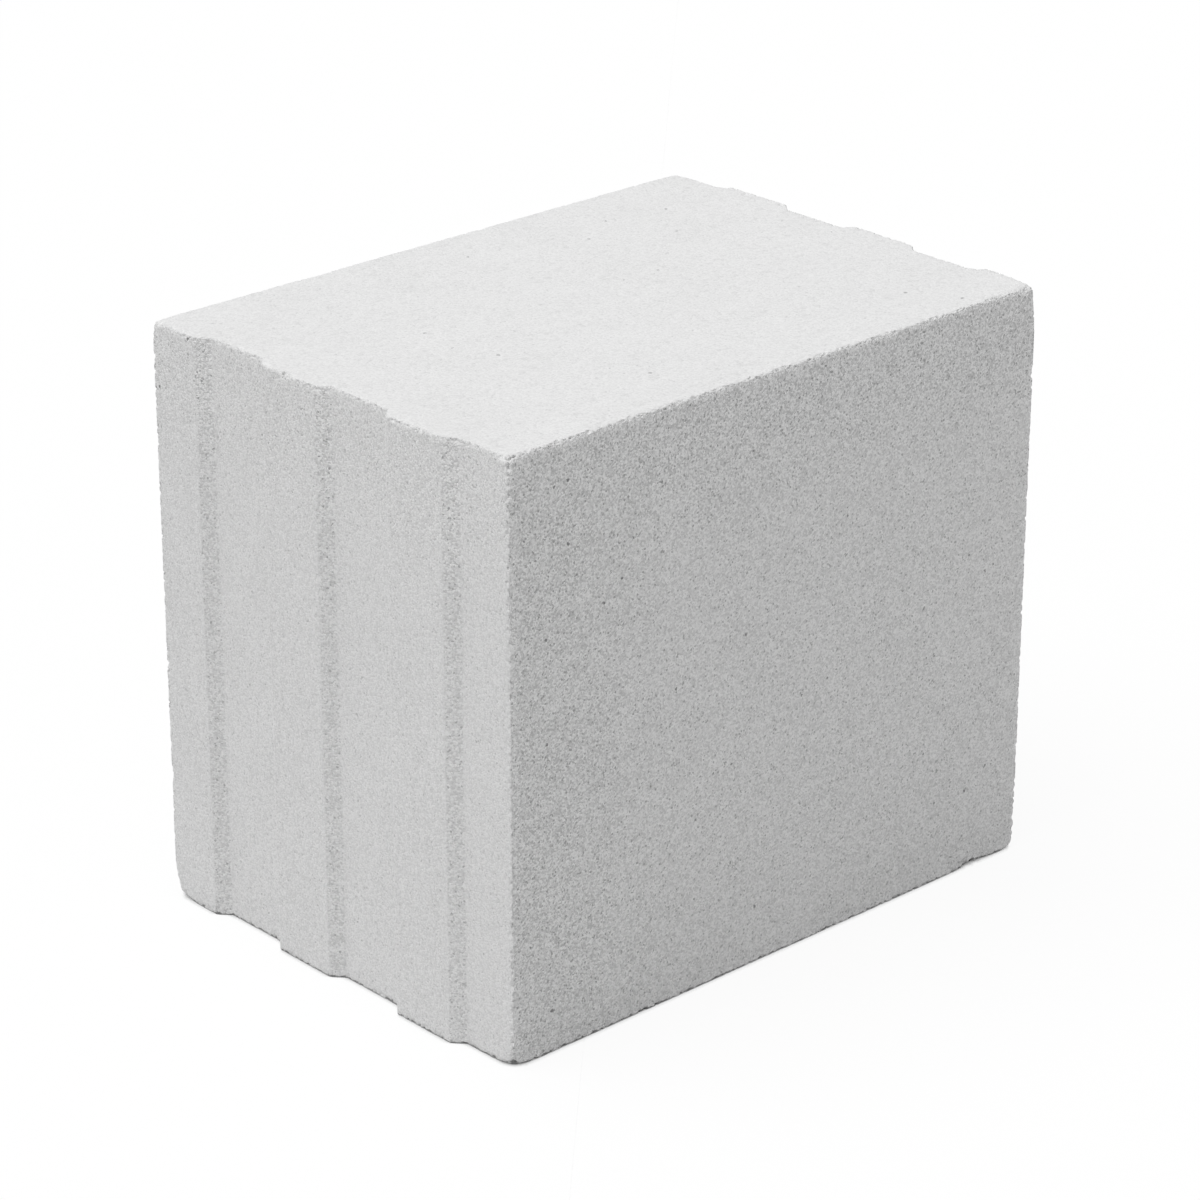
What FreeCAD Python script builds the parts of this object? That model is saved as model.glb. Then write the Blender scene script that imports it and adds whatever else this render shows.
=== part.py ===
"""Calcium silicate (sand-lime) wall block with tongue-and-groove ends. Millimetres, +Z up.

One pressed solid. X runs along the wall, Y through its thickness and Z up the course height.
The origin is at the middle of the underside's bounding box. Both ends carry the same wave:
three tongues and three grooves of equal width, cut off at the faces of the wall. Wherever one
end stands out the other stands back, so a row of blocks keys together end to end.
"""
import math
import os

import FreeCAD
import Part

# Body
block_length = 248.0    # end to end along any one line, tongue depth not counted
wall_thickness = 180.0  # between the two plain faces
course_height = 220.0   # between the two bed faces

# End wave
tongue_depth = 4.0      # from a groove floor to the tongue lands
flank_pitch = 32.1      # between one sloping flank and the next, across the wall
flank_run = 4.6         # how far each flank travels across the wall as it drops the tongue depth
flank_count = 5         # flanks on each end, centred on the middle of the wall

# Edges
ridge_radius = 1.5      # along the shoulders of the tongues
root_radius = 1.5       # along the foot of each flank
arris_radius = 1.5      # the four upright corners
bed_edge_radius = 0.8   # around the top and the underside


def end_wave():
    """The corners of one end from the +Y face to the -Y face, as (offset, y); 0 is the outer land."""
    points = [(0.0, wall_thickness / 2)]
    offset = 0.0
    for index in range(flank_count):
        centre = ((flank_count - 1) / 2 - index) * flank_pitch
        points.append((offset, centre + flank_run / 2))
        offset = tongue_depth - offset
        points.append((offset, centre - flank_run / 2))
    points.append((offset, -wall_thickness / 2))
    return points


def outline():
    """The plan of the block as a closed loop of (x, y, rounding radius), anticlockwise from above."""
    half = (block_length + tongue_depth) / 2
    wave = end_wave()
    last = len(wave) - 1
    loop = []
    for index, (offset, y) in enumerate(wave):
        on_tongue = offset == 0.0
        radius = arris_radius if index in (0, last) else (ridge_radius if on_tongue else root_radius)
        loop.append((offset - half, y, radius))
    for index, (offset, y) in reversed(list(enumerate(wave))):
        on_tongue = offset == tongue_depth
        radius = arris_radius if index in (0, last) else (ridge_radius if on_tongue else root_radius)
        loop.append((offset + block_length - half, y, radius))
    return loop


def rounded_wire(loop):
    """A flat wire through the loop's corners, each one turned with its own radius."""
    count = len(loop)
    arcs = []
    for index, (x, y, radius) in enumerate(loop):
        corner = FreeCAD.Vector(x, y, 0)
        before = FreeCAD.Vector(*loop[index - 1][:2], 0) - corner
        after = FreeCAD.Vector(*loop[(index + 1) % count][:2], 0) - corner
        before.normalize()
        after.normalize()
        half_angle = before.getAngle(after) / 2
        setback = radius / math.tan(half_angle)
        middle = (before + after).normalize()
        reach = radius / math.sin(half_angle) - radius
        arcs.append((corner + before * setback, corner + middle * reach, corner + after * setback))
    edges = []
    for index, (start, mid, end) in enumerate(arcs):
        edges.append(Part.Arc(start, mid, end).toShape())
        edges.append(Part.makeLine(end, arcs[(index + 1) % count][0]))
    return Part.Wire(edges)


body = Part.Face(rounded_wire(outline())).extrude(FreeCAD.Vector(0, 0, course_height))
bed_edges = [edge for edge in body.Edges if edge.BoundBox.ZLength < 1e-6]
block = body.makeFillet(bed_edge_radius, bed_edges).Solids[0]

os.makedirs("parts", exist_ok=True)
block.exportStep("parts/block.step")
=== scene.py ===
"""A tongue-and-groove sand-lime wall block with worn arrises, and a plain studio around it."""

import math

import bpy
import numpy as np
from bpy.props import FloatProperty, FloatVectorProperty, IntProperty, PointerProperty
from mathutils import Euler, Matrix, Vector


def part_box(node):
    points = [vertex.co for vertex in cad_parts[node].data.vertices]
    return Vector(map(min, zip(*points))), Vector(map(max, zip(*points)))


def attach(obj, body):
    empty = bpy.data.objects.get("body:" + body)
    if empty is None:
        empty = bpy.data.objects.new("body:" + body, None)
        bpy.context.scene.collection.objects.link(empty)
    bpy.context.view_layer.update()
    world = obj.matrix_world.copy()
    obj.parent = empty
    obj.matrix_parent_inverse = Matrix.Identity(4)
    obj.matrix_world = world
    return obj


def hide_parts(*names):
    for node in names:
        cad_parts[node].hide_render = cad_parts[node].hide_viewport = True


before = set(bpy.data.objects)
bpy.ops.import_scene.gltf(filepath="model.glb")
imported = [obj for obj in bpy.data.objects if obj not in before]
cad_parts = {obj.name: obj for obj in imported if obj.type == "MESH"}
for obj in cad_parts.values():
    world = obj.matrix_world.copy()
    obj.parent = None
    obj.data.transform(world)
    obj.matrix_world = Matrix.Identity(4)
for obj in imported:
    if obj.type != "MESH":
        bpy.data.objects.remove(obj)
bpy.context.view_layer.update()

bl_info = {
    "name": "Sand-Lime Wall Block",
    "version": (1, 0, 0),
    "blender": (4, 5, 0),
    "location": "3D View > Sidebar > Wall Block",
    "description": "Builds a pressed sand-lime wall block with keyed ends, and a plain studio around it",
    "category": "Add Mesh",
}

LOW, HIGH = (np.array(corner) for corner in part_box("block"))
EXTENT = HIGH - LOW
TONGUE_DEPTH = 0.004

# Spacing of the grid that the block is shaped from, in metres: beside an arris or flank, away from
# them along and across the block, away from them up the block, and how far the change takes.
GRID_FINE, GRID_WIDE, GRID_WIDE_UP, GRID_REACH = 0.00028, 0.00060, 0.00048, 0.010
GRID_WELD = 0.00002

# The sloping flanks of each end, counted from the middle one.
FLANKS = range(-2, 3)

# A finished block outside these has gone wrong.
FEWEST_TRIANGLES, MOST_TRIANGLES = 1000, 200000

# How much smaller than usual an arris's rounding is: the upright ones, those at the top and bottom of
# the keyed ends, and those near the floor. The zones say where that starts to fade and is gone.
UPRIGHT_CUT, END_CUT, FLOOR_CUT = 0.50, 0.38, 0.45
ARRIS_ZONE, FLOOR_ZONE = (0.002, 0.006), (0.003, 0.012)
LEAST_RADIUS = 0.00025

# Sizes of the wear patterns, in metres: slow swelling of the arris, crumbled lengths, ragged rims of
# the worn spots, grit, gaps left by lost grains, and the broken walls of the bites.
SWELL, CRUMBLE, SPOT_RIM, GRIT, LOST, BITE_WALL = 0.014, 0.0042, 0.0024, 0.0013, 0.0017, 0.0016

# Share of the arrises' roughness that the flanks and the flat faces have.
FLANK_ROUGHNESS, FACE_ROUGHNESS = 0.12, 0.08

# Sizes of the colour patterns, in metres: drifts of grains, clouds, drag lines, scraped patches.
DRIFT, CLOUD, DRAG, SCRAPE = 0.0026, 0.024, 0.0020, 0.0034

# How far each pattern lightens or darkens the body: single grains, drifts, clouds, drag lines,
# scraped patches on the beds, and the painted light along the arrises of the wall faces.
GRAIN_TONE, DRIFT_TONE, CLOUD_TONE = 0.39, 0.04, 0.07
DRAG_TONE, SCRAPE_TONE, WALL_RIM_LIGHT_TONE = 0.05, -0.055, 0.10

# Pits: how far apart, the share of places with none, and the widest as a share of that spacing.
SMALL_PITS = (0.0042, 0.70, 0.15)
LARGE_PITS = (0.0150, 0.72, 0.075)

# How far the rims of pits and chips stray, and how many times in a metre; size of a chipped grain.
FRAY, FRAY_RATE, CHIP = 0.0009, 1400.0, 0.0016

# How matt the surface is, its weak sheen, and how far its grain stands out, in metres.
ROUGHNESS, SHEEN, GRAIN_HEIGHT = 0.92, 0.25, 0.00030

# The camera: metres, turns in radians about X, Y and Z, the sensor's width in millimetres, and the
# nearest and farthest it sees.
CAMERA_PLACE = (-0.94302, -1.02299, 0.70357)
CAMERA_TURN = (1.166068, -0.000518, -0.744642)
CAMERA_SENSOR = 36.0
CAMERA_CLIP = (0.05, 100.0)

# The lamps: name, the setting that holds its strength, spread and turns in degrees.
LAMPS = (
    ("key_light", "key", 50, (-8, -18, 0)),
    ("side_light", "side", 40, (0, -70, 0)),
)

# Corners of the floor, this many metres out, and the white of floor and air.
FLOOR_REACH = 30.0
FLOOR_CORNERS = ((-1, -1), (1, -1), (1, 1), (-1, 1))
WHITE = (1.0, 1.0, 1.0, 1.0)

# Places where an arris has worn rounder than the rest: x, y, z, how far it spreads, extra radius.
WORN_SPOTS = (
    (-0.124, 0.090, 0.001, 0.0070, 0.0040),
    (-0.124, -0.090, 0.000, 0.0055, 0.0040),
    (-0.124, -0.090, 0.220, 0.0050, 0.0026),
    (0.124, -0.090, 0.220, 0.0100, 0.0030),
    (0.124, -0.090, 0.000, 0.0055, 0.0018),
    (-0.124, 0.090, 0.220, 0.0050, 0.0016),
    (0.124, 0.090, 0.220, 0.0060, 0.0018),
    (0.124, 0.090, 0.000, 0.0060, 0.0024),
    (0.030, 0.090, 0.000, 0.0080, 0.0012),
    (-0.050, 0.090, 0.220, 0.0060, 0.0008),
    (0.106, -0.090, 0.000, 0.0060, 0.0018),
    (-0.124, 0.016, 0.220, 0.0030, 0.0008),
    (-0.124, -0.048, 0.220, 0.0030, 0.0008),
)

# Small bites out of an arris: x, y, z of the bite's centre, radius.
BITES = (
    (0.1274, -0.0165, 0.2214, 0.0030),
    (0.1262, -0.0300, 0.2220, 0.0026),
    (0.1244, -0.0368, 0.2216, 0.0026),
    (0.1240, -0.0440, 0.2218, 0.0024),
    (-0.1225, -0.0912, 0.0008, 0.0034),
    (0.1268, -0.0912, 0.0168, 0.0025),
    (0.1268, -0.0912, 0.0120, 0.0026),
    (0.1268, -0.0912, 0.0075, 0.0024),
    (0.0965, -0.0902, -0.0008, 0.0017),
    (0.0995, -0.0900, -0.0006, 0.0026),
    (0.1030, -0.0898, -0.0004, 0.0031),
    (0.1065, -0.0900, -0.0006, 0.0027),
    (0.1098, -0.0902, -0.0008, 0.0018),
    (0.0340, -0.0904, -0.0004, 0.0013),
    (-0.1254, 0.0186, 0.2204, 0.0012),
    (0.1260, 0.0700, 0.2222, 0.0026),
    (-0.0200, 0.0918, 0.0900, 0.0022),
    (0.1272, 0.0810, 0.2212, 0.0020),
    (0.1230, 0.0640, 0.2214, 0.0021),
    (0.1228, 0.0530, 0.2216, 0.0022),
    (0.1240, 0.0350, 0.2214, 0.0020),
    (0.1272, 0.0230, 0.2214, 0.0021),
    (0.1272, 0.0060, 0.2216, 0.0023),
    (0.1232, -0.0530, 0.2214, 0.0021),
    (0.1236, -0.0640, 0.2216, 0.0022),
    (0.1270, -0.0760, 0.2214, 0.0021),
    (-0.1225, -0.0905, 0.2168, 0.0021),
    (-0.1225, -0.0905, 0.2121, 0.0017),
    (-0.1223, -0.0905, 0.2073, 0.0018),
    (-0.1225, -0.0905, 0.2018, 0.0015),
    (-0.1223, -0.0905, 0.1961, 0.0017),
    (-0.1225, -0.0905, 0.1893, 0.0015),
    (-0.1223, -0.0905, 0.1822, 0.0016),
    (-0.1225, -0.0905, 0.1741, 0.0014),
    (-0.1165, -0.0904, 0.2206, 0.0020),
    (-0.1102, -0.0904, 0.2206, 0.0017),
    (-0.1010, -0.0904, 0.2206, 0.0019),
    (-0.0870, -0.0904, 0.2206, 0.0018),
    (-0.0690, -0.0904, 0.2206, 0.0019),
    (-0.0655, -0.0904, 0.2206, 0.0016),
)

# Single air holes and lost grains large enough to pick out: x, y, z, radius.
HOLES = (
    (-0.1250, 0.0190, 0.2200, 0.0010),
    (-0.1260, 0.0700, 0.2184, 0.0007),
    (-0.1260, 0.0868, 0.1967, 0.0007),
    (-0.1220, 0.0358, 0.1923, 0.0006),
    (-0.0015, 0.0679, 0.2200, 0.0008),
    (0.0889, 0.0603, 0.2200, 0.0009),
    (0.0442, 0.0537, 0.2200, 0.0007),
    (0.0629, 0.0649, 0.2200, 0.0006),
    (0.0386, 0.0114, 0.2200, 0.0007),
    (0.0223, 0.0116, 0.2200, 0.0006),
    (0.0853, -0.0648, 0.2200, 0.0009),
    (0.0958, -0.0822, 0.2200, 0.0009),
    (-0.0361, -0.0638, 0.2200, 0.0009),
    (-0.0616, -0.0166, 0.2200, 0.0008),
    (-0.0654, 0.0167, 0.2200, 0.0008),
    (-0.0684, -0.0009, 0.2200, 0.0007),
    (0.0740, 0.0388, 0.2200, 0.0007),
    (0.1104, 0.0212, 0.2200, 0.0006),
    (0.1147, -0.0002, 0.2200, 0.0006),
    (-0.0967, -0.0900, 0.2057, 0.0008),
    (-0.1027, -0.0900, 0.2049, 0.0007),
    (-0.0968, -0.0900, 0.1836, 0.0008),
    (-0.1157, -0.0900, 0.1896, 0.0006),
    (-0.0730, -0.0900, 0.1649, 0.0006),
    (-0.1046, -0.0900, 0.0160, 0.0009),
    (0.0978, -0.0900, 0.0319, 0.0008),
    (0.0818, -0.0900, 0.0323, 0.0006),
    (-0.0810, -0.0900, 0.1584, 0.0008),
    (-0.0481, -0.0900, 0.1174, 0.0007),
    (-0.1065, -0.0900, 0.1527, 0.0008),
    (-0.1063, -0.0900, 0.1152, 0.0007),
)


class BlockSizes(bpy.types.PropertyGroup):
    """Sizes of the pressed block."""

    length: FloatProperty(name="Length", description="End to end along any one line",
                          default=EXTENT[0] - TONGUE_DEPTH, unit="LENGTH")
    thickness: FloatProperty(name="Thickness", description="Between the two plain wall faces",
                             default=EXTENT[1], unit="LENGTH")
    height: FloatProperty(name="Height", description="Between the two bed faces",
                          default=EXTENT[2], unit="LENGTH")
    tongue_depth: FloatProperty(name="Tongue depth", description="From a groove floor to the tongue lands",
                                default=TONGUE_DEPTH, unit="LENGTH")
    flank_pitch: FloatProperty(name="Flank pitch", description="From one sloping flank to the next",
                               default=0.0321, unit="LENGTH")
    flank_run: FloatProperty(name="Flank run", description="Width that each flank slopes over",
                             default=0.0046, unit="LENGTH")
    shoulder: FloatProperty(name="Shoulder softness",
                            description="Rounding where a flank meets a land or a floor",
                            default=0.12, min=0.0, max=1.0, subtype="FACTOR")


class BlockWear(bpy.types.PropertyGroup):
    """How sharp, ragged and grainy the block's surface is."""

    arris_radius: FloatProperty(name="Arris radius", description="Usual rounding of the outer edges",
                                default=0.00145, unit="LENGTH")
    arris_spread: FloatProperty(name="Arris spread", description="How much that rounding varies",
                                default=0.0005, unit="LENGTH")
    nibble: FloatProperty(name="Nibble", description="Extra rounding where the arris has crumbled",
                          default=0.0008, unit="LENGTH")
    chatter: FloatProperty(name="Chatter",
                           description="Depth of the gaps that single lost grains leave in an arris",
                           default=0.0008, unit="LENGTH")
    relief: FloatProperty(name="Grain relief", description="Roughness of the flanks and arrises",
                          default=0.00022, unit="LENGTH")
    seed: IntProperty(name="Seed", description="Picks another pattern of wear", default=7)
    triangles: IntProperty(name="Triangles", description="Most triangles in the finished block",
                           default=186000, min=20000, max=199000)


class BlockFinish(bpy.types.PropertyGroup):
    """Colour and grain of the sand-lime."""

    body: FloatVectorProperty(name="Body", description="Steam-cured lime and sand", subtype="COLOR",
                              default=(0.80, 0.80, 0.80), min=0.0, max=1.0)
    dark_grain: FloatVectorProperty(name="Dark grain", description="Darker sand grains", subtype="COLOR",
                                    default=(0.46, 0.46, 0.46), min=0.0, max=1.0)
    light_grain: FloatVectorProperty(name="Light grain", description="Lime bloom and pale grains",
                                     subtype="COLOR", default=(0.90, 0.90, 0.90), min=0.0, max=1.0)
    grain: FloatProperty(name="Grain", description="Usual size of a sand grain",
                         default=0.00060, unit="LENGTH")
    painted_shade: FloatVectorProperty(name="Pit", description="Shade inside the small pits", subtype="COLOR",
                             default=(0.10, 0.10, 0.10), min=0.0, max=1.0)


class StudioSettings(bpy.types.PropertyGroup):
    """Light, floor and camera."""

    floor: FloatVectorProperty(name="Floor", description="Colour of the floor", subtype="COLOR",
                               default=(0.60, 0.60, 0.60), min=0.0, max=1.0)
    contact: FloatProperty(name="Contact",
                           description="Reach of the dark line where the block meets the floor",
                           default=0.0035, unit="LENGTH")
    fill: FloatProperty(name="Fill", description="Strength of the even light from all round",
                        default=0.527, min=0.0)
    key: FloatProperty(name="Key", description="Strength of the broad light from above",
                       default=1.5, min=0.0)
    side: FloatProperty(name="Side", description="Strength of the broad light on the keyed end",
                        default=0.097, min=0.0)
    lens: FloatProperty(name="Lens", description="Focal length in millimetres", default=127.05, min=1.0)


class Nodes:
    """Adds nodes to a tree and links them, so that a formula reads in the order it is worked out."""

    # How the nodes are laid out: so many in a row, and the step to the right and down
    ROW, STEP, DROP = 24, 190, 340

    def __init__(self, tree):
        self.tree = tree
        self.count = 0

    def add(self, kind, inputs=None, out=0, **settings):
        """One node with its inputs filled by name or number; returns one of its outputs."""
        node = self.tree.nodes.new(kind)
        node.location = (self.count % self.ROW * self.STEP, -(self.count // self.ROW) * self.DROP)
        self.count += 1
        for key, value in settings.items():
            setattr(node, key, value)
        for key, value in (inputs or {}).items():
            self.fill(node.inputs[key], value)
        return node.outputs[out] if len(node.outputs) else node

    def fill(self, socket, value):
        if isinstance(value, bpy.types.NodeSocket):
            self.tree.links.new(value, socket)
        else:
            socket.default_value = value

    def math(self, operation, *values):
        return self.add("ShaderNodeMath", dict(enumerate(values)), operation=operation)

    def vector(self, operation, *values):
        places = (0, 3) if operation == "SCALE" else (0, 1, 2)
        out = 1 if operation in ("LENGTH", "DISTANCE", "DOT_PRODUCT") else 0
        return self.add("ShaderNodeVectorMath", dict(zip(places, values)), out, operation=operation)

    def split(self, vector):
        node = self.add("ShaderNodeSeparateXYZ", {0: vector}).node
        return node.outputs[0], node.outputs[1], node.outputs[2]

    def join(self, x, y, z):
        return self.add("ShaderNodeCombineXYZ", {0: x, 1: y, 2: z})

    def ramp(self, value, low, high, to_low=0.0, to_high=1.0):
        """A smooth step from to_low to to_high as value goes from low to high."""
        return self.add("ShaderNodeMapRange", {0: value, 1: low, 2: high, 3: to_low, 4: to_high},
                        interpolation_type="SMOOTHSTEP")

    def noise(self, vector, size, detail=2.0, roughness=0.5):
        """Cloudy noise whose blotches are about size metres across, around 0.5."""
        return self.add("ShaderNodeTexNoise", {"Vector": vector, "Scale": 1.0 / size,
                                               "Detail": detail, "Roughness": roughness})

    def cells(self, vector, size):
        """For cells about size metres across: two random numbers, and how far off the middle is."""
        outputs = self.add("ShaderNodeTexVoronoi", {"Vector": vector, "Scale": 1.0 / size,
                                                    "Randomness": 1.0}).node.outputs
        first, second, _ = self.split(outputs["Color"])
        return first, second, outputs["Distance"]

    def largest(self, x, y, z):
        return self.math("MAXIMUM", self.math("MAXIMUM", x, y), z)

    def from_arris(self, x, y, z):
        """Distance from the nearest arris, from the distances to the three pairs of faces."""
        return self.math("SUBTRACT", self.math("ADD", self.math("ADD", x, y), z), self.largest(x, y, z))

    def seen_directly(self):
        """1 on rays that show a picture of the thing, 0 on rays that only carry its light."""
        path = self.add("ShaderNodeLightPath").node.outputs
        return self.largest(path["Is Camera Ray"], path["Is Glossy Ray"], path["Is Transmission Ray"])


def graded_lines(low, high, creases, fine, coarse, reach):
    """Grid lines from low to high, close together beside each crease and wider apart between them."""
    lines = [low]
    while lines[-1] < high:
        gap = min(abs(lines[-1] - crease) for crease in creases)
        lines.append(lines[-1] + fine + (coarse - fine) * min(gap / reach, 1.0))
    lines = np.array(lines)
    return low + (lines - low) * (high - low) / (lines[-1] - low)


def blank_mesh(sizes):
    """A box the size of the unkeyed block, gridded more finely near every arris and flank."""
    half = (sizes.length / 2, sizes.thickness / 2)
    flanks = [index * sizes.flank_pitch + shift * sizes.flank_run / 2
              for index in FLANKS for shift in (-1, 0, 1)]
    lines = (
        graded_lines(-half[0], half[0], (-half[0], half[0]), GRID_FINE, GRID_WIDE, GRID_REACH),
        graded_lines(-half[1], half[1], [-half[1], half[1], *flanks], GRID_FINE, GRID_WIDE, GRID_REACH),
        graded_lines(0.0, sizes.height, (0.0, sizes.height), GRID_FINE, GRID_WIDE_UP, GRID_REACH),
    )
    points, quads, start = [], [], 0
    for axis in range(3):
        u, v = (axis + 1) % 3, (axis + 2) % 3
        grid_u, grid_v = np.meshgrid(lines[u], lines[v], indexing="ij")
        for side in (0, -1):
            sheet = np.empty(grid_u.shape + (3,))
            sheet[..., u], sheet[..., v], sheet[..., axis] = grid_u, grid_v, lines[axis][side]
            index = start + np.arange(grid_u.size).reshape(grid_u.shape)
            corners = [index[:-1, :-1], index[1:, :-1], index[1:, 1:], index[:-1, 1:]]
            if side == 0:
                corners.reverse()
            quads.append(np.stack(corners, -1).reshape(-1, 4))
            points.append(sheet.reshape(-1, 3))
            start += grid_u.size
    points, quads = np.concatenate(points), np.concatenate(quads)
    mesh = bpy.data.meshes.new("blank")
    mesh.vertices.add(len(points))
    mesh.vertices.foreach_set("co", points.ravel())
    mesh.loops.add(quads.size)
    mesh.loops.foreach_set("vertex_index", quads.ravel().astype(np.int32))
    mesh.polygons.add(len(quads))
    mesh.polygons.foreach_set("loop_start", np.arange(0, quads.size, 4, dtype=np.int32))
    mesh.update(calc_edges=True)
    return mesh


def marked_points(name, rows, *labels):
    """An object of loose points, each with the named numbers that follow its position in rows."""
    mesh = bpy.data.meshes.new(name)
    mesh.from_pydata([row[:3] for row in rows], [], [])
    for place, label in enumerate(labels):
        layer = mesh.attributes.new(label, "FLOAT", "POINT")
        layer.data.foreach_set("value", [row[3 + place] for row in rows])
    thing = bpy.data.objects.new(name, mesh)
    bpy.context.scene.collection.objects.link(thing)
    return thing


def end_wave(n, across, pitch, run, softness):
    """The keyed ends' wave, from 0 to 1, and the distance from the middle of the nearest flank."""
    turn = n.math("PINGPONG", n.math("SUBTRACT", n.math("MULTIPLY", pitch, 0.5), across), pitch)
    offset = n.math("SUBTRACT", turn, n.math("MULTIPLY", pitch, 0.5))
    slope = n.math("ADD", n.math("DIVIDE", offset, run), 0.5)
    wave = n.math("SMOOTH_MIN", n.math("SMOOTH_MAX", slope, 0.0, softness), 1.0, softness)
    return wave, n.math("ABSOLUTE", offset)


def keyed_body_tree():
    """The node tree that keys, rounds and wears a gridded box into the block."""
    tree = bpy.data.node_groups.new("Keyed Sand-Lime Body", "GeometryNodeTree")
    tree.is_modifier = True
    face = tree.interface
    face.new_socket("Geometry", in_out="OUTPUT", socket_type="NodeSocketGeometry")
    face.new_socket("Geometry", in_out="INPUT", socket_type="NodeSocketGeometry")
    for kind, names in (
        ("Float", ("Length", "Thickness", "Height", "Tongue Depth", "Flank Pitch", "Flank Run",
                   "Shoulder Softness", "Arris Radius", "Arris Spread", "Nibble", "Chatter",
                   "Grain Relief", "Seed")),
        ("Object", ("Worn Spots", "Bites")),
        ("Material", ("Material",)),
    ):
        for name in names:
            face.new_socket(name, in_out="INPUT", socket_type="NodeSocket" + kind)
    n = Nodes(tree)
    given = n.add("NodeGroupInput").node.outputs

    shell = n.add("GeometryNodeMergeByDistance", {"Geometry": given["Geometry"], "Distance": GRID_WELD})
    place = n.add("GeometryNodeInputPosition")
    half = n.vector("SCALE", n.join(given["Length"], given["Thickness"], given["Height"]), 0.5)
    lift = n.join(0.0, 0.0, n.math("MULTIPLY", given["Height"], 0.5))
    centred = n.vector("SUBTRACT", place, lift)
    seeded = n.vector("ADD", place, n.join(given["Seed"], 0.0, 0.0))

    gap_x, gap_y, gap_z = n.split(n.vector("SUBTRACT", half, n.vector("ABSOLUTE", centred)))
    to_arris = n.from_arris(gap_x, gap_y, gap_z)
    upright = n.ramp(n.math("ADD", gap_x, gap_y), *ARRIS_ZONE, 1.0, 0.0)
    endwise = n.ramp(n.math("ADD", gap_x, gap_z), *ARRIS_ZONE, END_CUT, 0.0)
    low = n.ramp(n.split(place)[2], *FLOOR_ZONE, FLOOR_CUT, 0.0)
    sharper = n.largest(n.math("MULTIPLY", upright, UPRIGHT_CUT), endwise, low)

    # Rounding of the outer arrises: usual radius, slow variation, crumbled lengths and worn spots
    slow = n.noise(seeded, SWELL, 3.0, 0.6)
    radius = n.math("MULTIPLY_ADD", n.math("MULTIPLY_ADD", slow, 2.0, -1.0), given["Arris Spread"],
                    n.math("MULTIPLY", given["Arris Radius"], n.math("SUBTRACT", 1.0, sharper)))
    broken = n.ramp(n.noise(seeded, CRUMBLE, 3.0, 0.6), 0.56, 0.70)
    broken = n.math("MULTIPLY", broken, n.math("MULTIPLY_ADD", upright, 0.5, 1.0))
    radius = n.math("MULTIPLY_ADD", broken, given["Nibble"], radius)
    spots = n.add("GeometryNodeObjectInfo", {"Object": given["Worn Spots"]}, "Geometry")
    nearest = n.add("GeometryNodeSampleNearest", {"Geometry": spots, "Sample Position": place})

    def sampled(source, index, field, data_type="FLOAT"):
        return n.add("GeometryNodeSampleIndex", {"Geometry": source, "Value": field, "Index": index},
                     data_type=data_type)

    def label(name):
        return n.add("GeometryNodeInputNamedAttribute", {"Name": name}, data_type="FLOAT")

    away = n.vector("DISTANCE", place, sampled(spots, nearest, place, "FLOAT_VECTOR"))
    fade = n.math("DIVIDE", away, sampled(spots, nearest, label("spread")))
    bump = n.math("EXPONENT", n.math("MULTIPLY", n.math("MULTIPLY", fade, fade), -1.0))
    ragged = n.math("MULTIPLY_ADD", n.noise(seeded, SPOT_RIM, 3.0, 0.6), 1.2, 0.4)
    extra = n.math("MULTIPLY", n.math("MULTIPLY", bump, sampled(spots, nearest, label("extra"))), ragged)
    radius = n.math("MAXIMUM", n.math("ADD", radius, extra), LEAST_RADIUS)

    # Each point slides onto the rounded box
    inner = n.vector("SUBTRACT", half, n.join(radius, radius, radius))
    core = n.vector("MAXIMUM", n.vector("MINIMUM", centred, inner), n.vector("SCALE", inner, -1.0))
    outward = n.vector("NORMALIZE", n.vector("SUBTRACT", centred, core))
    rounded = n.vector("ADD", core, n.vector("SCALE", outward, radius))

    # The same wave at both ends: every line of the block shifts along the wall
    _, across, _ = n.split(centred)
    wave, from_flank = end_wave(n, across, given["Flank Pitch"], given["Flank Run"],
                                given["Shoulder Softness"])
    shift = n.math("MULTIPLY", n.math("SUBTRACT", wave, 0.5), given["Tongue Depth"])
    keyed = n.vector("ADD", rounded, n.join(shift, 0.0, 0.0))

    # Grain stands out on the flanks and the arrises, and is pressed smooth on the flat faces
    at_arris = n.ramp(to_arris, 0.0004, 0.0030, 1.0, 0.0)
    on_flank = n.ramp(from_flank, n.math("MULTIPLY", given["Flank Run"], 0.45),
                      n.math("MULTIPLY", given["Flank Run"], 0.70), FLANK_ROUGHNESS, 0.0)
    at_end = n.ramp(gap_x, 0.0, 0.0015, 1.0, 0.0)
    rough = n.largest(at_arris, n.math("MULTIPLY", on_flank, at_end), FACE_ROUGHNESS)
    grain = n.math("MULTIPLY_ADD", n.noise(seeded, GRIT, 2.0, 0.7), 2.0, -1.15)
    relief = n.math("MULTIPLY", n.math("MULTIPLY", grain, rough), given["Grain Relief"])
    lost = n.math("MULTIPLY", n.ramp(n.noise(seeded, LOST, 1.0, 0.5), 0.52, 0.68),
                  n.ramp(to_arris, 0.0005, 0.0020, 1.0, 0.0))
    relief = n.math("SUBTRACT", relief, n.math("MULTIPLY", lost, given["Chatter"]))
    grained = n.vector("ADD", n.vector("ADD", keyed, n.vector("SCALE", outward, relief)), lift)

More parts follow.
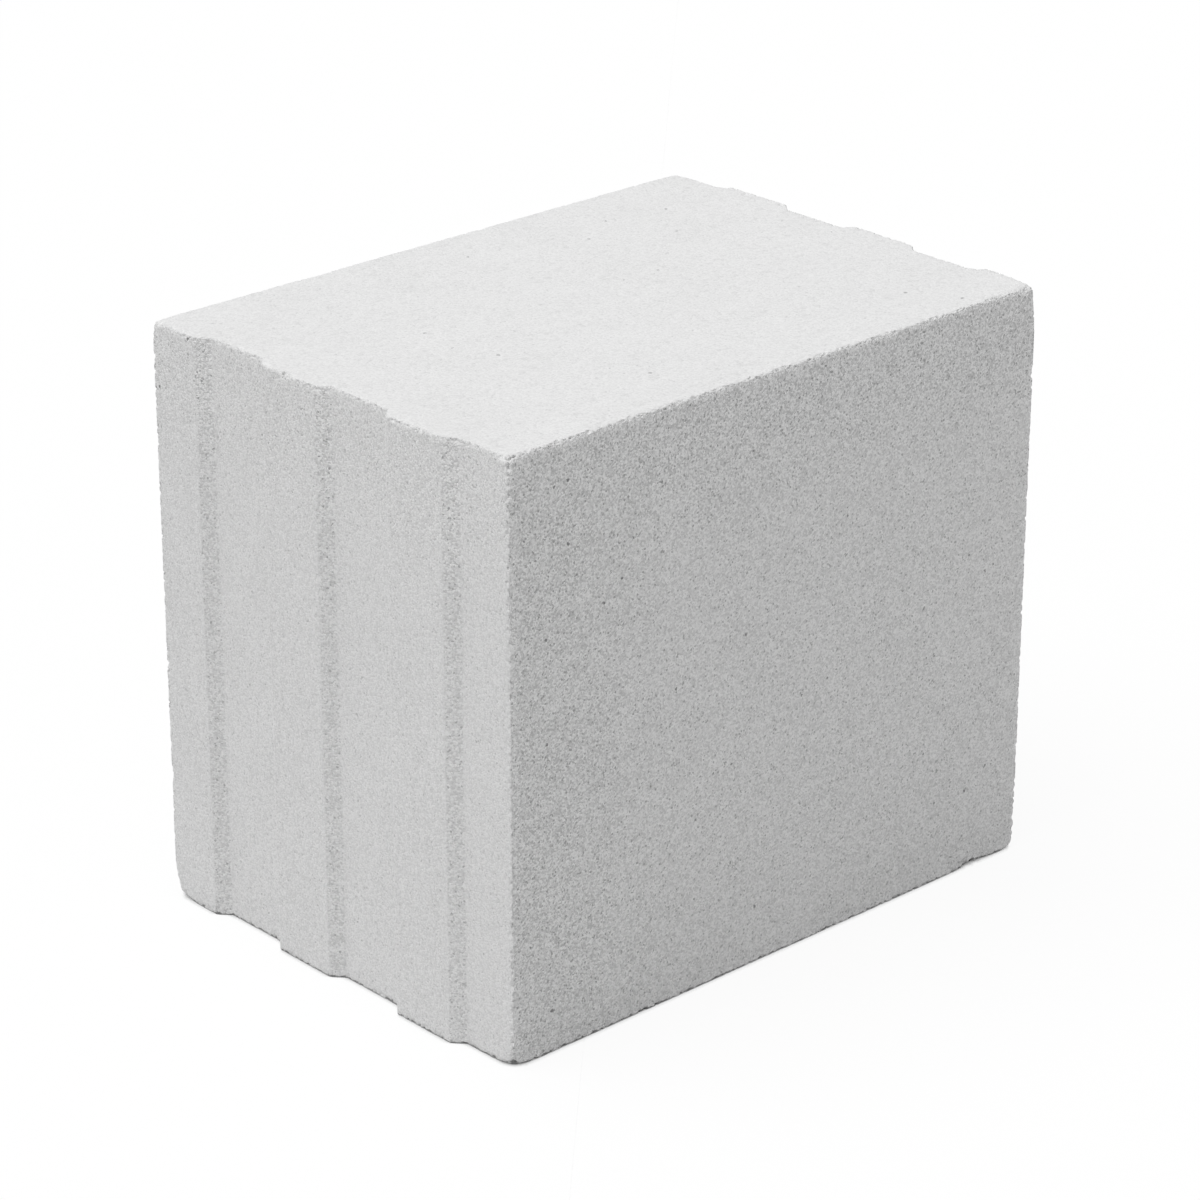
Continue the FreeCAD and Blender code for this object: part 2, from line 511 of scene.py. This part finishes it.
    # Bites: points inside one are pushed back to its wall
    bites = n.add("GeometryNodeObjectInfo", {"Object": given["Bites"]}, "Geometry")
    closest = n.add("GeometryNodeSampleNearest", {"Geometry": bites, "Sample Position": grained})
    heart = sampled(bites, closest, place, "FLOAT_VECTOR")
    reach = n.math("MULTIPLY", sampled(bites, closest, label("radius")),
                   n.math("MULTIPLY_ADD", n.noise(seeded, BITE_WALL, 2.0, 0.6), 0.8, 0.6))
    ray = n.vector("SUBTRACT", grained, heart)
    span = n.vector("LENGTH", ray)
    pushed = n.vector("SCALE", n.vector("NORMALIZE", ray), n.math("MAXIMUM", span, reach))
    bitten = n.vector("ADD", heart, pushed)

    # Nothing goes below the floor
    along, through, up = n.split(bitten)
    grounded = n.join(along, through, n.math("MAXIMUM", up, 0.0))
    moved = n.add("GeometryNodeSetPosition", {"Geometry": shell, "Position": grounded})
    smooth = n.add("GeometryNodeSetShadeSmooth", {"Geometry": moved, "Shade Smooth": True})
    whole = n.add("GeometryNodeRealizeInstances", {"Geometry": smooth})
    dressed = n.add("GeometryNodeSetMaterial", {"Geometry": whole, "Material": given["Material"]})
    n.add("NodeGroupOutput", {"Geometry": dressed})
    return tree


def set_inputs(modifier, values):
    """Sets a Geometry Nodes modifier's inputs by name, through each socket's identifier."""
    for item in modifier.node_group.interface.items_tree:
        if item.item_type == "SOCKET" and item.in_out == "INPUT" and item.name in values:
            modifier[item.identifier] = values[item.name]


def empty_material(name):
    """A new material with no nodes yet, and what adds them."""
    material = bpy.data.materials.new(name)
    material.use_nodes = True
    material.node_tree.nodes.clear()
    return material, Nodes(material.node_tree)


def sand_lime_material(sizes, finish):
    """Steam-cured sand-lime: pale matt body, fine sand grain, drag lines on the ends, small pits darkened
    with painted shade.
    """
    material, n = empty_material("sand_lime")
    place = n.add("ShaderNodeTexCoord", out="Object")
    facing = n.vector("ABSOLUTE", n.add("ShaderNodeTexCoord", out="Normal"))
    to_end, to_wall, to_bed = n.split(facing)
    along, across, up = n.split(place)
    wave, from_flank = end_wave(n, across, sizes.flank_pitch, sizes.flank_run, sizes.shoulder)
    shift = n.math("MULTIPLY", n.math("SUBTRACT", wave, 0.5), sizes.tongue_depth)
    from_middle = n.math("SUBTRACT", up, sizes.height / 2)
    gap_x = n.math("SUBTRACT", sizes.length / 2, n.math("ABSOLUTE", n.math("SUBTRACT", along, shift)))
    gap_y = n.math("SUBTRACT", sizes.thickness / 2, n.math("ABSOLUTE", across))
    gap_z = n.math("SUBTRACT", sizes.height / 2, n.math("ABSOLUTE", from_middle))
    to_arris = n.from_arris(gap_x, gap_y, gap_z)

    # Where the surface is: on a flank, a wall face, a bed or an end, and the parts cast coarser
    strip = n.ramp(from_flank, sizes.flank_run * 0.44, sizes.flank_run * 0.60, 1.0, 0.0)
    flank = n.math("MULTIPLY", strip, n.ramp(to_end, 0.3, 0.6))
    on_wall = n.ramp(to_wall, 0.80, 0.95)
    on_bed = n.ramp(to_bed, 0.6, 0.9)
    on_end = n.ramp(to_end, 0.80, 0.95)
    cast_top = n.math("MULTIPLY", n.ramp(up, sizes.height * 0.72, sizes.height * 0.95),
                      n.math("SUBTRACT", 1.0, on_bed))
    cast_side = n.math("MULTIPLY", n.ramp(along, sizes.length * -0.15, sizes.length * -0.45), on_wall)

    # The grains, the drifts they lie in, and how strongly both show
    each, rare, off_grain = n.cells(place, finish.grain)
    cluster = n.noise(place, DRIFT, 3.0, 0.6)
    coarse = n.math("MAXIMUM", n.math("MULTIPLY_ADD", on_wall, 0.44, 0.56),
                    n.math("MULTIPLY", flank, 0.92))
    coarse = n.math("MULTIPLY", coarse, n.math("MULTIPLY_ADD", on_bed, -0.42, 1.0))
    coarser = n.math("MULTIPLY_ADD", n.math("MAXIMUM", cast_top, cast_side), 0.40, 1.0)
    coarse = n.math("MULTIPLY", coarse, coarser)

    # Each sand grain has a shade of its own; grains lie in slightly lighter and darker drifts
    def around_zero(pattern):
        return n.math("SUBTRACT", pattern, 0.5)

    tone = n.math("MULTIPLY", around_zero(each), GRAIN_TONE)
    tone = n.math("MULTIPLY_ADD", around_zero(cluster), DRIFT_TONE, tone)
    tone = n.math("MULTIPLY_ADD", tone, coarse, 1.0)
    cloud = n.noise(place, CLOUD, 4.0, 0.55)
    tone = n.math("MULTIPLY_ADD", around_zero(cloud), CLOUD_TONE, tone)
    tone = n.math("MULTIPLY_ADD", flank, n.math("MULTIPLY_ADD", cast_top, 0.085, 0.005), tone)
    drag = n.noise(n.vector("MULTIPLY", place, (1.0, 1.0, 0.12)), DRAG, 3.0, 0.6)
    tone = n.math("MULTIPLY_ADD", n.math("MULTIPLY", around_zero(drag), on_end), DRAG_TONE, tone)
    scraped = n.math("MULTIPLY", n.ramp(n.noise(place, SCRAPE, 2.0, 0.5), 0.56, 0.70), on_bed)
    tone = n.math("MULTIPLY_ADD", scraped, SCRAPE_TONE, tone)
    # Painted light: the wall faces are lightened along their arrises
    wall_rim_light = n.math("MULTIPLY", n.ramp(to_arris, 0.0010, 0.0030, 1.0, 0.0), to_wall)
    tone = n.math("MULTIPLY_ADD", wall_rim_light, WALL_RIM_LIGHT_TONE, tone)
    colour = n.vector("SCALE", n.join(*finish.body), tone)

    def blend(first, shade, amount):
        return n.add("ShaderNodeMix", {0: amount, 6: first, 7: (*shade, 1.0)}, 2, data_type="RGBA")

    # A few grains are dark, and a few carry pale bloom
    speck = n.math("MULTIPLY", n.ramp(rare, 0.973, 0.981), coarse)
    colour = blend(colour, finish.dark_grain, n.math("MULTIPLY", speck, 0.9))
    bloom = n.math("MULTIPLY", n.ramp(rare, 0.05, 0.03), coarse)
    colour = blend(colour, finish.light_grain, bloom)

    # Pits, where grains or air have left the face: many small, some large, and the named holes, all
    # darkened with painted shade
    wander = n.add("ShaderNodeTexNoise", {"Vector": place, "Scale": FRAY_RATE, "Detail": 0.0}, "Color")
    frayed = n.vector("MULTIPLY_ADD", wander, (FRAY, FRAY, FRAY), place)

    def pits(spacing, share, widest):
        chance, _, away = n.cells(frayed, spacing)
        width = n.math("MAXIMUM", n.ramp(chance, share, 1.0, 0.0, widest), 0.001)
        return n.ramp(n.math("DIVIDE", away, width), 1.0, 0.5)

    strength = n.math("MULTIPLY_ADD", on_bed, -0.12, n.math("MULTIPLY_ADD", on_wall, 0.40, 0.35))
    small = n.math("MULTIPLY", pits(*SMALL_PITS), strength)
    painted_shade = n.math("MAXIMUM", small, n.math("MULTIPLY", pits(*LARGE_PITS), strength))
    holes = 0.0
    for x, y, z, radius in HOLES:
        away = n.vector("DISTANCE", frayed, (x + FRAY / 2, y + FRAY / 2, z + FRAY / 2))
        holes = n.math("MAXIMUM", holes, n.ramp(away, radius, radius * 0.5))
    painted_shade = n.math("MAXIMUM", painted_shade, n.math("MULTIPLY", holes, n.math("MULTIPLY_ADD", on_bed, -0.3, 0.9)))

    # Grains lost along the arrises, thickest down the coarse upper part of the upright ones, painted as
    # shaded gaps
    chance, _, away = n.cells(frayed, CHIP)
    upper = n.math("MULTIPLY", cast_top, n.ramp(gap_z, 0.001, 0.004))
    lost = n.math("MULTIPLY", n.ramp(chance, 0.62, 0.72), n.ramp(away, 0.46, 0.30))
    lost = n.math("MULTIPLY", lost, n.ramp(to_arris, 0.0006, 0.0018, 1.0, 0.0))
    painted_shade = n.math("MAXIMUM", painted_shade, n.math("MULTIPLY", lost, n.math("MULTIPLY_ADD", upper, 0.50, 0.12)))

    # Painted contact shadow along the rim where the block stands on the floor, and inside the gaps broken
    # out of that rim
    inset = n.math("MINIMUM", gap_x, gap_y)
    floor_contact_shadow = n.ramp(n.math("MULTIPLY_ADD", cluster, -0.0030, up), -0.0011, -0.0005, 1.0, 0.0)
    gap = n.math("MULTIPLY", n.ramp(inset, 0.0010, 0.0018), n.ramp(up, 0.0018, 0.0030, 1.0, 0.0))
    floor_contact_shadow = n.math("MULTIPLY", n.math("MAXIMUM", floor_contact_shadow, gap), n.ramp(inset, 0.0030, 0.0050, 1.0, 0.0))
    painted_shade = n.math("MAXIMUM", painted_shade, n.math("MULTIPLY", floor_contact_shadow, 0.85))
    colour = blend(colour, finish.painted_shade, n.math("MULTIPLY", painted_shade, 0.85))

    # Grains stand proud and small pits sink in
    height = n.math("SUBTRACT", n.math("MULTIPLY", cluster, 0.2), off_grain)
    height = n.math("MULTIPLY", height, coarse)
    height = n.math("MULTIPLY", height, n.ramp(to_arris, 0.0006, 0.0025, 1.0, 0.8))
    height = n.math("MULTIPLY_ADD", small, -1.2, height)
    normal = n.add("ShaderNodeBump", {"Height": height, "Strength": 1.0, "Distance": GRAIN_HEIGHT})
    surface = n.add("ShaderNodeBsdfPrincipled", {"Base Color": colour, "Roughness": ROUGHNESS,
                                                 "Normal": normal, "Specular IOR Level": SHEEN})
    n.add("ShaderNodeOutputMaterial", {"Surface": surface})
    return material


def floor_material(studio):
    """Pale matt floor that shows white, apart from the block's soft shadow."""
    material, n = empty_material("studio_floor")
    matt = n.add("ShaderNodeBsdfDiffuse", {"Color": (*studio.floor, 1.0)})
    bright = n.add("ShaderNodeBsdfDiffuse", {"Color": WHITE})
    closeness = n.add("ShaderNodeAmbientOcclusion", {"Distance": studio.contact}, "AO", samples=4)
    lit = n.ramp(closeness, 0.08, 0.50, 0.02, 1.0)
    glow = n.add("ShaderNodeEmission", {"Color": WHITE, "Strength": lit})
    white = n.add("ShaderNodeMixShader", {0: 0.9, 1: bright, 2: glow})
    surface = n.add("ShaderNodeMixShader", {0: n.seen_directly(), 1: matt, 2: white})
    n.add("ShaderNodeOutputMaterial", {"Surface": surface})
    return material


class BLOCK_OT_build(bpy.types.Operator):
    """Build the pressed block in place of its plain construction solid"""

    bl_idname = "block.build"
    bl_label = "Build Block"

    def execute(self, context):
        scene = context.scene
        sizes, wear, finish = scene.block_sizes, scene.block_wear, scene.block_finish
        blank = bpy.data.objects.new("blank", blank_mesh(sizes))
        scene.collection.objects.link(blank)
        spots = marked_points("worn_spots", WORN_SPOTS, "spread", "extra")
        bites = marked_points("bites", BITES, "radius")
        keyed = blank.modifiers.new("Keyed body", "NODES")
        keyed.node_group = keyed_body_tree()
        set_inputs(keyed, {
            "Length": sizes.length, "Thickness": sizes.thickness, "Height": sizes.height,
            "Tongue Depth": sizes.tongue_depth, "Flank Pitch": sizes.flank_pitch,
            "Flank Run": sizes.flank_run, "Shoulder Softness": sizes.shoulder,
            "Arris Radius": wear.arris_radius, "Arris Spread": wear.arris_spread,
            "Nibble": wear.nibble, "Chatter": wear.chatter, "Grain Relief": wear.relief,
            "Seed": float(wear.seed), "Worn Spots": spots, "Bites": bites,
            "Material": sand_lime_material(sizes, finish),
        })
        thinned = blank.modifiers.new("Fewer triangles", "DECIMATE")
        faces = len(blank.data.polygons) * 2
        thinned.ratio = min(1.0, wear.triangles / faces)
        thinned.use_collapse_triangulate = True
        context.view_layer.update()
        worn = bpy.data.meshes.new_from_object(blank.evaluated_get(context.evaluated_depsgraph_get()))
        if not FEWEST_TRIANGLES < len(worn.polygons) < MOST_TRIANGLES:
            raise RuntimeError(f"the block came out with {len(worn.polygons)} triangles")
        for helper in (blank, spots, bites):
            bpy.data.objects.remove(helper)
        worn.name = "sand_lime_block"
        block = bpy.data.objects.new("sand_lime_block", worn)
        scene.collection.objects.link(block)
        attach(block, "root")
        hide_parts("block")
        return {"FINISHED"}


class BLOCK_OT_stage(bpy.types.Operator):
    """Set the floor, the light and the camera around the block"""

    bl_idname = "block.stage"
    bl_label = "Set Stage"

    def execute(self, context):
        scene, studio = context.scene, context.scene.block_studio
        mesh = bpy.data.meshes.new("studio_floor")
        corners = [(x * FLOOR_REACH, y * FLOOR_REACH, 0.0) for x, y in FLOOR_CORNERS]
        mesh.from_pydata(corners, [], [(0, 1, 2, 3)])
        mesh.materials.append(floor_material(studio))
        floor = bpy.data.objects.new("studio_floor", mesh)
        scene.collection.objects.link(floor)

        world = bpy.data.worlds.new("studio_air")
        scene.world = world
        world.use_nodes = True
        world.node_tree.nodes.clear()
        n = Nodes(world.node_tree)
        seen = n.seen_directly()
        strength = n.math("ADD", seen, n.math("MULTIPLY", n.math("SUBTRACT", 1.0, seen), studio.fill))
        air = n.add("ShaderNodeBackground", {"Color": WHITE, "Strength": strength})
        n.add("ShaderNodeOutputWorld", {"Surface": air})

        for name, setting, spread, tilt in LAMPS:
            lamp = bpy.data.lights.new(name, "SUN")
            lamp.energy, lamp.angle = getattr(studio, setting), math.radians(spread)
            light = bpy.data.objects.new(name, lamp)
            light.rotation_euler = Euler([math.radians(angle) for angle in tilt])
            scene.collection.objects.link(light)

        lens = bpy.data.cameras.new("studio_camera")
        lens.lens, lens.sensor_width = studio.lens, CAMERA_SENSOR
        lens.clip_start, lens.clip_end = CAMERA_CLIP
        camera = bpy.data.objects.new("studio_camera", lens)
        camera.location = CAMERA_PLACE
        camera.rotation_euler = Euler(CAMERA_TURN)
        scene.collection.objects.link(camera)
        scene.camera = camera
        scene.view_settings.view_transform = "Standard"
        return {"FINISHED"}


class BLOCK_PT_panel(bpy.types.Panel):
    """Sidebar panel with the block's sizes, wear, finish and stage"""

    bl_idname = "BLOCK_PT_panel"
    bl_label = "Sand-Lime Wall Block"
    bl_space_type = "VIEW_3D"
    bl_region_type = "UI"
    bl_category = "Wall Block"

    def draw(self, context):
        scene = context.scene
        for title, group in (("Sizes", scene.block_sizes), ("Wear", scene.block_wear),
                             ("Finish", scene.block_finish), ("Studio", scene.block_studio)):
            box = self.layout.box()
            box.label(text=title)
            for name in type(group).__annotations__:
                box.prop(group, name)
        for operator in (BLOCK_OT_build, BLOCK_OT_stage):
            self.layout.operator(operator.bl_idname)


GROUPS = {"block_sizes": BlockSizes, "block_wear": BlockWear, "block_finish": BlockFinish,
          "block_studio": StudioSettings}
CLASSES = (*GROUPS.values(), BLOCK_OT_build, BLOCK_OT_stage, BLOCK_PT_panel)


def register():
    for each in CLASSES:
        bpy.utils.register_class(each)
    for name, group in GROUPS.items():
        setattr(bpy.types.Scene, name, PointerProperty(type=group))


def unregister():
    for name in GROUPS:
        delattr(bpy.types.Scene, name)
    for each in reversed(CLASSES):
        bpy.utils.unregister_class(each)


def main():
    register()
    bpy.ops.block.build()
    bpy.ops.block.stage()


if __name__ == "__main__":
    main()
